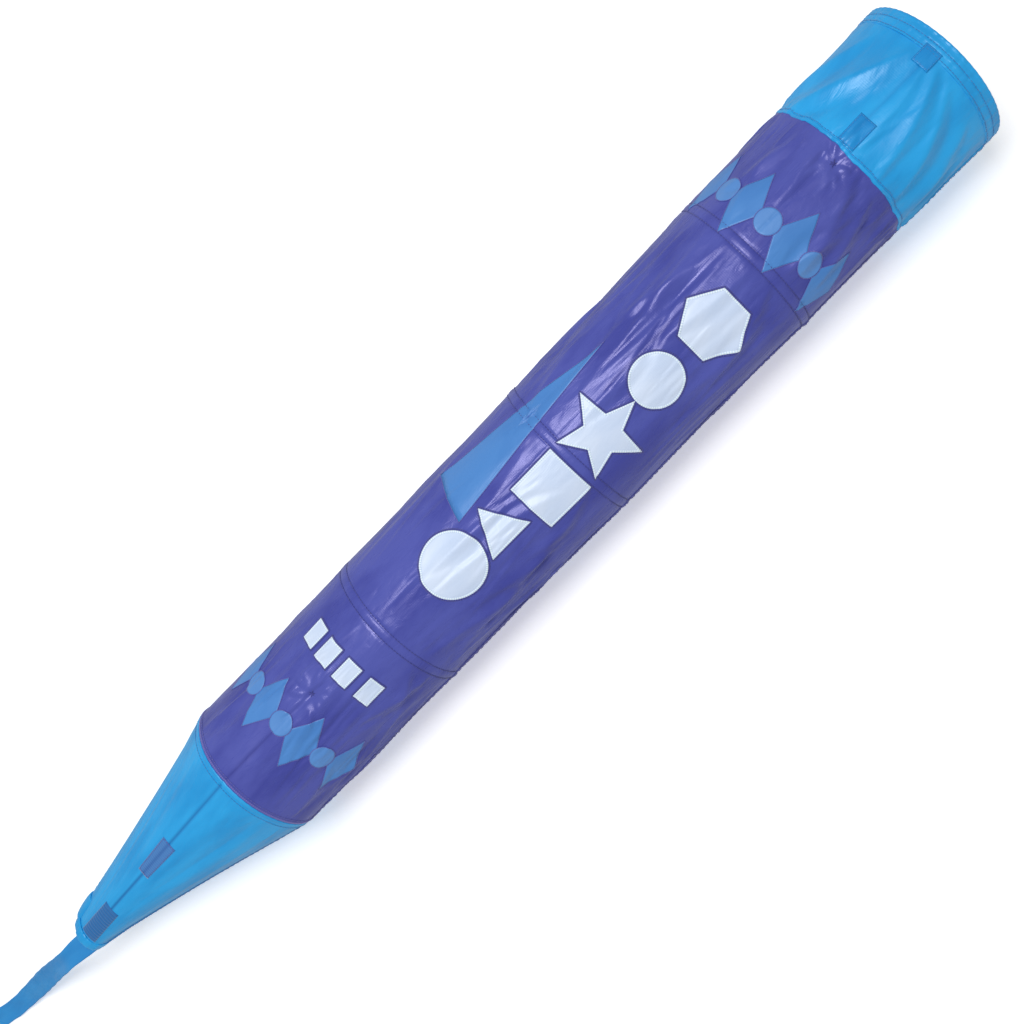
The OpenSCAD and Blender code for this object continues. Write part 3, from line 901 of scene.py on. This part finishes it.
def ring_strip(name, along, width, lift, material, ripple=0.12):
    """A rolled strip that follows a circle on the cloth, at a distance along for each angle."""
    half_width, v, height = rolled(len(round_fine), width, lift, ripple)
    a, t = along + half_width[:, None] * v, round_fine[:, None] + 0 * v
    upper, lower = on_cloth(a, t, height), on_cloth(a, t, -0.1)
    length = path_length(upper[:, len(v) // 2])
    length = np.append(length, length[-1] + length[1])
    corners, quads = closed_quads(len(round_fine), 2 * len(v))
    across = half_width.mean() * v
    u = np.concatenate([across, across[::-1], across[:1]]) * MM
    uv = np.stack([u[corners[..., 1]], length[corners[..., 0]] * MM], -1)
    return make_piece(name, np.concatenate([upper, lower[:, ::-1]], axis=1), quads, uv, material,
                      "cone_end", flip=True)


def side_strip(name, a, turn, width, lift, material):
    """A rolled strip that runs along the tube at one angle."""
    half_width, v, height = rolled(len(a), width, lift, 0.15)
    t = turn + half_width[:, None] * v / girth * 360
    length = path_length(on_cloth(a, turn + 0 * a, height[:, len(v) // 2]))
    return laid_sheet(name, a[:, None], t, height, half_width.mean() * v, length, material)


fine_count = 420
round_fine = np.arange(fine_count) * 360 / fine_count
wavy = (0.9 * np.sin(np.radians(5 * round_fine)) + 0.5 * np.sin(np.radians(14 * round_fine + 50))
        + 0.25 * np.sin(np.radians(37 * round_fine)))
gathers(ring_strip("band_seam_fold", (band_start + 1.0 + wavy)[:, None], 3.4, 0.7, sky_nylon))
starts = np.stack([band_start + 3.6 + wavy[::3], round_fine[::3]], -1)
gathers(stitch_row("band_seam_stitching", starts, starts + [0, 2.1], blue_thread))
ring_strip("cone_seam_fold", cone_end - 1.8, 4.6, 0.7, sky_nylon)
gathers(ring_strip("cone_seam_piping", cone_end + 2.4, 2.2, 0.9, violet_thread, 0.1))
stitch_row("cone_hoop_stitching", *ring_stitches(cone_end - 7, 130), blue_thread)
gathers(stitch_row("body_hoop_stitching", *ring_stitches(cone_end + 5.5, 130), violet_thread))

for side, turn in (("left", 90.0), ("right", -90.0)):
    for part, a0, a1, width, lift, cloth in (
            ("body", cone_end + 2, band_start + 1, 6.4, 0.95, indigo_binding),
            ("band", band_start + 4, mouth - 17, 6.4, 0.9, sky_nylon),
            ("cone", cuff_end + 3, cone_end - 4, 6.0, 1.0, sky_binding)):
        seam = side_strip(f"{part}_seam_{side}_fold", np.arange(a0, a1, 1.6), turn, width, lift,
                          cloth)
        if part != "band":
            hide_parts(f"{part}_seam_{side}")
        if part != "cone":
            gathers(seam)
    stitch_row(f"cone_{side}_zigzag", *zigzag(cuff_end + 5, cone_end - 6, turn, 1.9), blue_thread,
               lift=1.0)
print("seams and stitch rows done")

# %% [markdown]
# ## The two ties
#
# A loop of cord goes round the spine and up to the cloth, and draws it in. The loop and
# its two strands are tubes carried along paths; on the outside only a few crossed
# stitches show, in the cloth's own colour.

# %% Ties
def cord_tube(path, radius, closed):
    """A tube round a path (n, 3) in metres: at each point a circle of ten points in the plane
    across the path's tangent. An open tube gets a cap at each end."""
    ahead, behind = np.roll(path, -1, axis=0), np.roll(path, 1, axis=0)
    if not closed:
        ahead[-1], behind[0] = path[-1], path[0]
    way = ahead - behind
    way /= np.linalg.norm(way, axis=1, keepdims=True)
    side = np.cross(way, [1.0, 0.02, 0.03])
    side /= np.linalg.norm(side, axis=1, keepdims=True)
    other = np.cross(way, side)
    angle = (np.arange(10) * np.pi / 5)[:, None]
    points = path[:, None] + radius * (side[:, None] * np.cos(angle)
                                       + other[:, None] * np.sin(angle))
    n = len(path)
    corners = grid_quads(n + closed, 10, wrap=True)
    quads = (corners[..., 0] % n) * 10 + corners[..., 1] % 10
    caps = () if closed else (range(9, -1, -1), range(n * 10 - 10, n * 10))
    return points.reshape(-1, 3), quads, corners * [0.0007, 0.0004], caps


spine_low, spine_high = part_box("spine_middle")
spine_z = (spine_low.z + spine_high.z) / 2
cross = np.array([(-3.2, -1.2), (3.2, 1.2), (-2.8, 1.4), (2.8, -1.6), (0.2, -2.2), (-0.4, 2.2)])
for name, place_on in (("lower_tie", lower_tie), ("upper_tie", upper_tie)):
    x = tip_x + place_on[0] * MM
    angle = np.arange(40) * np.pi / 20
    loop = np.stack([x + 0 * angle, 0.0034 * np.sin(angle), spine_z + 0.0034 * np.cos(angle)], -1)
    top = on_cloth(*np.array(place_on), -0.7)
    parts = [cord_tube(loop, 0.0007, True)]
    for shift in (-0.0008, 0.0008):
        u = np.linspace(0, 1, 14)[:, None]
        foot = np.array([x + shift, 0.0, spine_z + 0.0036])
        strand = foot * (1 - u) + (top + [shift, 0, 0]) * u
        strand[:, 1] += 0.0006 * np.sin(u[:, 0] * 9 + shift * 3000)
        parts.append(cord_tube(strand, 0.0006, False))
    gathers(stand_in(join_grids(name + "_cord", parts, tie_cord), name))
    stitches = np.array(place_on) + cross
    gathers(stitch_row(name + "_stitching", stitches[::2], stitches[1::2], indigo_thread,
                       thick=0.5, lift=0.1))
print("spine height", round(spine_z, 4))

# %% [markdown]
# ## Hoop sleeves
#
# Each hoop sits in a tube of tape, sewn to the inside of the cloth. It is a profile, a
# flattened ring 12 mm wide, carried round a circle, and the tape puckers a little as it
# turns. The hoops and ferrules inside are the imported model's own.

# %% Sleeves
def superellipse(count, power):
    """Points of |x|^power + |y|^power = 1, as x and y."""
    angle = np.arange(count) * 2 * np.pi / count
    c, s = np.cos(angle), np.sin(angle)
    scale = (np.abs(c) ** power + np.abs(s) ** power) ** (-1 / power)
    return c * scale, s * scale


def waves(turns, *rows):
    """A sum of height * sin(count * turn + start) for each row, with turns in degrees."""
    return sum(height * np.sin(np.radians(count * turns + start)) for height, count, start in rows)


def sleeve(name, line, body, wobble):
    """A rounded box section, 11.6 by 5.4 mm, carried round the circle of radius sleeve_r.

    The section is a superellipse of power 3, and its height wavers as the tape puckers.
    """
    turns = (np.arange(300) * 360 / 300)[:, None]
    x, y = superellipse(28, 3)
    pucker = 2.7 + waves(turns, (0.16, 41, wobble), (0.12, 67, 0))
    points = place(line + 5.8 * x, turns, sleeve_r + pucker * y)
    stand_in(ring_surface(name + "_tape", points, 0.0011, 0.00154, sleeve_tape, body), name)


for letter, line in zip("abc", hoops):
    sleeve(f"hoop_{letter}_sleeve", line, f"ring_{letter}", ord(letter) * 40)
sleeve("cone_hoop_sleeve", cone_hoop, "cone_end", 10)
sleeve("mouth_hoop_sleeve", mouth_hoop, "mouth_ring", 70)

# %% [markdown]
# ## The mouth
#
# The rim is a hem 16 mm deep, folded over the last hoop and stitched twice, so two fine
# dark lines run round it. The hem is a surface of its own, a profile that goes round the
# lip and back inside, with small ripples from the stitching. A square patch backs the
# spine's end.

# %% Hem
hem_depth, hem_row = 16.6, 7.6


def hem_skin(along, turn, lift=0.0):
    """The hem's outside: half a millimetre over the cloth, with small waves round it and a
    groove along its inner row of stitches."""
    turn, along = np.asarray(turn, float), np.asarray(along, float)
    ripple = (waves(turn, (0.16, 52, 0), (0.22, 17, 30))
              + 0.1 * np.sin(np.radians(83 * turn + along * 9)))
    groove = -0.45 * np.exp(-(((along - (mouth - hem_row)) / 1.1) ** 2))
    return place(along, turn, np.maximum(cloth_radius(along, turn), tube_r - 0.2) + 0.5 + ripple
                 + groove + lift)


turns = (np.arange(480) * 360 / 480)[:, None]
outer_a = mouth - np.array([hem_depth, 16.2, 15, 13.5, 12, 10.5, 9.3, 8.4, hem_row, 6.8, 5.8, 4.2,
                            2.6, 1.2])
lip_angle = np.linspace(0.15, np.pi, 7)
lip_radius = tube_r - 0.55 + 1.15 * np.cos(lip_angle) + waves(turns, (0.2, 61, 0))
hem_rings = np.concatenate([
    hem_skin(outer_a[:1], turns, -0.45), hem_skin(outer_a, turns),
    place(mouth - 1.2 + 1.9 * np.sin(lip_angle), turns, lip_radius),
    place(mouth - np.array([2.2, 4.0, 6.5, 9.5, 12.5, hem_depth]), turns,
          np.array([76.6, 76.9, 77.0, 77.1, 77.2, 77.3]))], axis=1)
stand_in(ring_surface("mouth_hem_cloth", hem_rings, 0.0016, 0.00102, sky_nylon, "mouth_ring",
                      flip=True), "mouth_hem")
for name, offset in (("outer", 14.8), ("inner", hem_row)):
    stitch_row(f"hem_stitching_{name}", *ring_stitches(mouth - offset, 150), blue_thread,
               "mouth_ring", skin=hem_skin)


# %% Patches and keepers
def sewn_square(name, along, turn, long_side, wide_side, material, thread, skin, body, lift=0.5):
    """A rectangle of tape: a grid that stands lift over the skin and rolls down at its rim,
    with a row of stitches 1.3 mm inside its edge."""
    p = np.linspace(-long_side / 2, long_side / 2, 22)
    q = np.linspace(-wide_side / 2, wide_side / 2, 14)
    rim = np.maximum(np.abs(p / long_side * 2)[:, None], np.abs(q / wide_side * 2)[None, :])
    radius = max(skin(along, turn)[2] / MM - axis_z, 5)
    piece = laid_sheet(name, along + p[:, None], turn + np.degrees(q / radius),
                       lift * (1 - rim ** 8 * 0.8), q, p, material, body, skin)
    path = box(long_side / 2 - 1.3, wide_side / 2 - 1.3, 2.6)
    starts = np.stack([along + path[:, 0], turn + np.degrees(path[:, 1] / radius)], -1)
    row = stitch_row(name + "_stitching", starts, starts + (np.roll(starts, -1, axis=0) - starts)
                     * 0.75, thread, body, thick=0.3, lift=lift, skin=skin)
    # the tape gets the painted shadow of the spine's rod under it
    paint_spine_shadow(piece)
    return piece, row


for name, node, *facts in (
        ("mouth_patch_cloth", "mouth_patch", mouth - 20, 0, 18, 18, patch_nylon, patch_thread,
         hem_skin, "mouth_ring"),
        ("band_keeper_tape", "band_keeper", 1119, -1, 28, 18, patch_nylon, patch_thread,
         on_cloth, "cone_end"),
        ("cone_keeper_tape", "cone_keeper", 158.5, 0, 52, 16.5, keeper_tape, violet_thread,
         on_cloth, "cone_end")):
    square, square_row = sewn_square(name, *facts)
    stand_in(square, node)
    if node == "band_keeper":
        gathers(square)
        gathers(square_row)

# %% [markdown]
# ## The tip
#
# The cone's small end is turned back on itself into a soft rolled rim, and the tail is
# sewn in across it. A length of ribbed webbing over the top line holds the end of the
# spine, and a tuck of spare cloth stands out beside it.

# %% Rim, webbing and tuck
turns = (np.arange(160) * 360 / 160)[:, None]
x, y = superellipse(26, 2.6)
crumple = waves(turns, (0.35, 5, 20), (0.25, 13, 0), (0.15, 29, 70))
hang = np.exp(-(((turns - 84) / 34) ** 2))
pinch = np.exp(-(((turns - 276) / 38) ** 2))
rim_a = 9.6 + (5.2 + 0.5 * crumple) * x
rim_r = tip_r - 0.3 + 0.12 * rim_a + 0.5 * crumple + (1.15 + 0.25 * crumple) * y
points = place(rim_a + 2.5 + 2.0 * hang, turns, rim_r + 5.0 * hang - 2.2 * pinch)
stand_in(ring_surface("tip_rim_cloth", points, 0.001, 0.0007, sky_nylon, "cone_end"),
         "tip_cuff")

# the webbing: ribs 2 mm apart across it, and edges that roll down
a, q = np.linspace(19, 69, 170)[:, None], np.linspace(-10.5, 10.5, 20)
ribs = 0.12 * np.abs(np.sin(np.pi * (a - 19) / 2.0)) ** 0.7
rim = np.maximum((np.abs(a - 44) / 25) ** 14, (np.abs(q) / 10.5) ** 12)
pocket = laid_sheet("tip_webbing", a, np.degrees(q / (tip_r + 0.218 * (a - cuff_end))),
                    (1.0 + ribs) * (1 - 0.8 * rim), q, a[:, 0], blue_webbing)
stand_in(pocket, "tip_pocket")

# the tuck: a blister of cloth, highest near the tip and gone 45 mm from it
a, v = np.linspace(5, 45, 60)[:, None], np.linspace(0, 1, 16)
bulge = 5.5 * np.sin(np.pi * np.clip((a - 4) / 42, 0, 1)) ** 0.3
fade = 1 - 0.5 * np.clip((a - 20) / 40, 0, 1)
tuck = laid_sheet("tip_tuck_cloth", a, 62 + 46 * v + 2.5 * np.sin(a / 9),
                  0.2 + bulge * np.sin(np.pi * v) ** 0.6 * fade, v * 18, a[:, 0], sky_nylon)

# %% [markdown]
# ## The tail
#
# One ribbon of nylon, 26 mm wide, sewn into the tip. It slopes down to the floor, runs
# a little way, and the rest of its 1.8 m is folded to and fro into a flat bundle with a
# band round it, as it would be put away. The whole ribbon is one strip carried along one
# path; every layer lies on the last one, with a small round turn at each end.

# %% The tail's path
pivot = Vector((tip_x - 14 * MM, 0, axis_z * MM))
out_way = Vector((np.cos(np.radians(173)), np.sin(np.radians(173)), 0))
side_way = Vector((-out_way.y, out_way.x, 0))
fall = np.array([(-30, 0), (0, 0), (10, 0.3), (22, 2), (38, 8), (58, 20), (80, 35), (102, 49),
                 (124, 61), (146, 70), (168, 75), (190, 77.2), (215, 77.8), (245, 77.4)], float)
layers, layer_gap, bundle_near, bundle_far = 7, 1.6, 246.0, 474.0


def beside_pivot(out, side, height):
    """World point from millimetres out along the tail, to its side, and over the floor."""
    return np.stack([pivot.x + (out_way.x * out + side_way.x * side) * MM,
                     pivot.y + (out_way.y * out + side_way.y * side) * MM, height * MM], -1)


def tail_path():
    """(out, down) points: the fall, then layers runs to and fro, each layer_gap higher."""
    path = [fall]
    for k in range(layers):
        level = fall[-1, 1] - layer_gap * k
        near, far = bundle_near + 2 + k % 2, bundle_far - 1 - k % 2
        ends = (near, far) if k % 2 == 0 else (far, near)
        run = np.linspace(ends[0], ends[1], 40)
        path.append(np.stack([run, level - 0.25 * np.sin(run / 11 + k)], -1))
        if k < layers - 1:
            way = np.linspace(-80, 80, 7) * np.pi / 180
            sign = 1 if k % 2 == 0 else -1
            path.append(np.stack([ends[1] + sign * np.cos(way) * layer_gap / 2,
                                  level - layer_gap / 2 - np.sin(way) * layer_gap / 2], -1))
    path = np.concatenate(path)
    length = np.concatenate([[0], np.cumsum(np.hypot(*np.diff(path, axis=0).T))])
    even = np.linspace(0, length[-1], 1200)
    path = np.stack([np.interp(even, length, column) for column in path.T], -1)
    window = np.ones(17) / 17
    smooth = np.stack([np.convolve(np.pad(column, 8, mode="edge"), window, "valid")
                       for column in path.T], -1)
    blend = np.clip((230 - even) / 30, 0, 1)[:, None]
    return path * (1 - blend) + smooth * blend, even


tail_points, tail_length = tail_path()
print("tail length", tail_length[-1].round(1), "mm")


# %% The ribbon
def ribbon_grids(path, length, width=26.0, thickness=0.3):
    """Outer and inner grids of a crumpled ribbon along a path of (out, down).

    The width eases from 26 to 23 and back, and the height across is a lengthwise crease,
    1.8 * |v - sway|, with cross ripples 0.6 * sin(length / 7); both fade out in the bundle.
    """
    v = np.linspace(-1, 1, 13)
    tangent = np.gradient(path, axis=0)
    tangent /= np.hypot(*tangent.T)[:, None]
    free = np.clip((length - 22) / 30, 0, 1) * np.clip((300 - length) / 30, 0, 1)
    wide = width / 2 - free * (1.2 + 0.8 * np.sin(length / 29))
    wide = wide * (1 + free * 0.018 * np.sin(length / 4.3))
    sway, ripple, shiver = (wave[:, None] for wave in (
        0.35 * np.sin(length / 37), 0.6 * np.sin(length / 7 + 2 * np.sin(length / 17)),
        0.3 * np.sin(length / 5 - 3)))
    crease = free[:, None] * (1.8 * np.abs(v - 0.3 + sway) + ripple * v ** 2 + shiver)
    drift = np.interp(length, [30, 60, 180, 225, 290], [0, 1.6, 2.0, 3.6, 0])
    side = wide[:, None] * v + (free * (0.6 * np.sin(length / 31 + 0.6) + drift))[:, None]
    grids = []
    for offset in (0.0, -thickness):
        rise = crease + offset
        down = path[:, 1:] - tangent[:, :1] * rise
        grids.append(beside_pivot(path[:, :1] + tangent[:, 1:] * rise, side,
                                  np.maximum(axis_z - down, 0.55 + offset * 0.2)))
    return grids, wide.mean() * v


(upper, lower), tail_across = ribbon_grids(tail_points, tail_length)
tail = thin_shell("tail_ribbon", upper, lower, tail_across, tail_length, tail_nylon, None)
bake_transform(tail)
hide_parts("tail_strip", "tail_bundle", "tail_tab")

# %% The band round the bundle
band_low, band_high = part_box("tail_band")
band_mid = (band_low + band_high) / 2
distance = (band_mid.xy - pivot.xy).length / MM
section = outline([(-13.9, 0.1), (13.9, 0.1), (13.9, 13.4), (-13.9, 13.4)], 1.4)
middle = section.mean(0)
spread = (section - middle) * (1 - 0.03 * np.cos(
    4 * np.arctan2(*(section - middle).T[::-1]) + np.pi))[:, None]
run = np.linspace(-7, 7, 15)
swell = 1 + (0.25 * np.cos(run / 7 * np.pi / 2) + 0.1 * np.sin(run * 1.9)) / 14
rings = middle + spread * np.concatenate([swell, np.full(15, 0.955)])[:, None, None]
points = beside_pivot(distance + np.concatenate([run, run[::-1]])[:, None], rings[..., 0],
                      np.maximum(rings[..., 1], 0.1))
stand_in(ring_surface("tail_band_cloth", points, 0.0014, 0.001, keeper_tape, "tail", swap=True),
         "tail_band")

# %% [markdown]
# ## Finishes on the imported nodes
#
# Rods, ferrules and caps keep the shape that they were designed with. Only their
# material slots are filled.

# %% Finishes
hoop_names = ["cone_hoop", "hoop_a", "hoop_b", "hoop_c", "mouth_hoop"]
for material, names in (
        (fibreglass, ["spine_lower", "spine_middle", "spine_upper"]),
        (hoop_glass, hoop_names),
        (drawn_tube, ["spine_ferrule"] + [name + "_ferrule" for name in hoop_names]),
        (vinyl, ["spine_lower_cap", "spine_upper_cap", "spine_joiner"])):
    for name in names:
        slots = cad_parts[name].data.materials
        slots.clear()
        slots.append(material)

# %% [markdown]
# ## The panels' own meshes
#
# When the mouth is pushed towards the cone the hoops stack up and the cloth between them
# folds away. Each sheet's cut length, its sleeves and the cone's cut area are worked out
# here, and the body and band panels get their own mesh data.

# %% Sheet sizes and own meshes
cone_area = np.pi * (tube_r + tip_r) / 2 * (cone_end - cuff_end) * MM * MM
facts = {"body": (band_start - cone_end, [f"hoop_{letter}_sleeve_tape" for letter in "abc"], None),
         "band": (mouth - band_start, ["mouth_hoop_sleeve_tape"], None),
         "cone": (cone_end - cuff_end, ["cone_hoop_sleeve_tape"], cone_area)}
for (part, side), piece in panels.items():
    if part != "cone":
        gathers(piece)

# %% [markdown]
# ## Floor and light
#
# A sheet of white paper on a light table, and one soft panel. The panel hangs high on the
# +Y side, so a short soft shadow falls to the other side and the folds get highlights.
# The world fills in the rest, and the table's own glow keeps the shadow light. The shiny
# cloth doesn't mirror the table, or its flanks would turn grey.

# %% Floor and light
floor_mesh = bpy.data.meshes.new("floor")
floor_mesh.from_pydata([(-30, -30, 0), (30, -30, 0), (30, 30, 0), (-30, 30, 0)], [], [(0, 1, 2, 3)])
floor_mesh.materials.append(surface(blank_material("white paper, lit from below"), {
    "Base Color": linear("#f8f8f8"), "Roughness": 0.9, "Specular IOR Level": 0.1,
    "Emission Color": (1, 1, 1, 1), "Emission Strength": 0.36}))
floor = bpy.data.objects.new("floor", floor_mesh)
scene.collection.objects.link(floor)
floor.visible_glossy = False

light = bpy.data.lights.new("main panel", "AREA")
light.shape, light.size, light.energy = "SQUARE", 0.95, 36
lamp = bpy.data.objects.new("main panel", light)
scene.collection.objects.link(lamp)
lamp.location = (0.25, 0.40, 2.35)
lamp.rotation_mode = "QUATERNION"
lamp.rotation_quaternion = (Vector((0.15, 0, 0)) - lamp.location).to_track_quat("-Z", "Y")

world = bpy.data.worlds.new("studio")
scene.world = world
world.use_nodes = True
background = world.node_tree.nodes["Background"]
background.inputs["Color"].default_value = (1, 1, 1, 1)
background.inputs["Strength"].default_value = 0.40
scene.view_settings.view_transform = "Standard"
